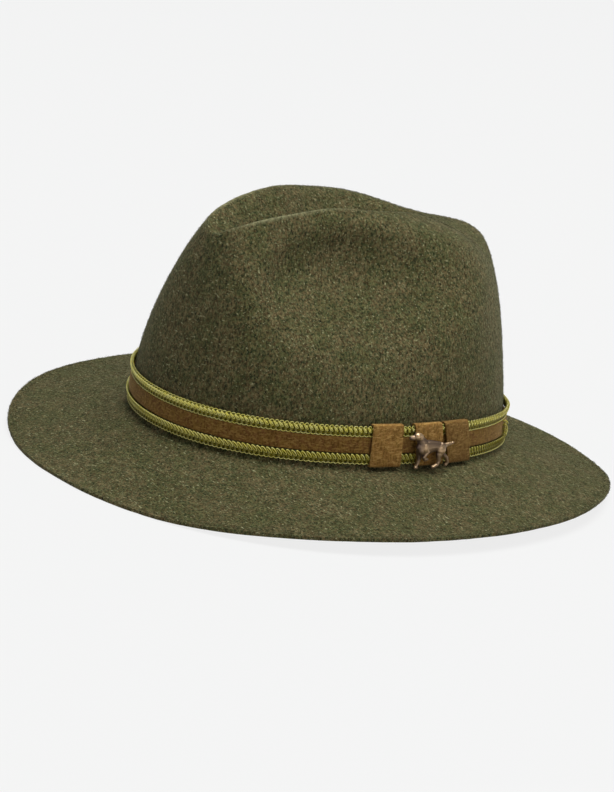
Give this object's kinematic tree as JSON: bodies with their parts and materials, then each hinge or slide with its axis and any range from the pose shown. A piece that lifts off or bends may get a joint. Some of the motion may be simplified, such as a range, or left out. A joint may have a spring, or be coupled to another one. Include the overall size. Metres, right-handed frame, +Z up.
{
  "type": "hunting hat",
  "caption": "Felt hunting hat with a dented crown, a sloping brim and a suede band edged with braid, with keepers and a pointing dog badge at the left side.",
  "frame": {"origin": "on the surface the hat rests on, below the middle of the brim", "axes": "+Z up, -Y to the front of the hat, +X to the wearer's left, where the badge is"},
  "size_m": [0.306, 0.304, 0.1362],
  "materials": {
    "felt": "olive green wool felt with mixed flecks",
    "braid": "yellow-green crocheted braid",
    "strip_suede": "brown suede",
    "keeper_suede": "golden brown suede",
    "badge_metal": "aged bronze cast metal"
  },
  "bodies": {
    "root": {"felt_body": "felt", "bottom_braid": "braid", "band_strip": "strip_suede", "top_braid": "braid", "seam_braid": "braid", "front_keeper": "keeper_suede", "middle_keeper": "keeper_suede", "rear_keeper": "keeper_suede", "dog_badge": "badge_metal"}
  },
  "joints": []
}
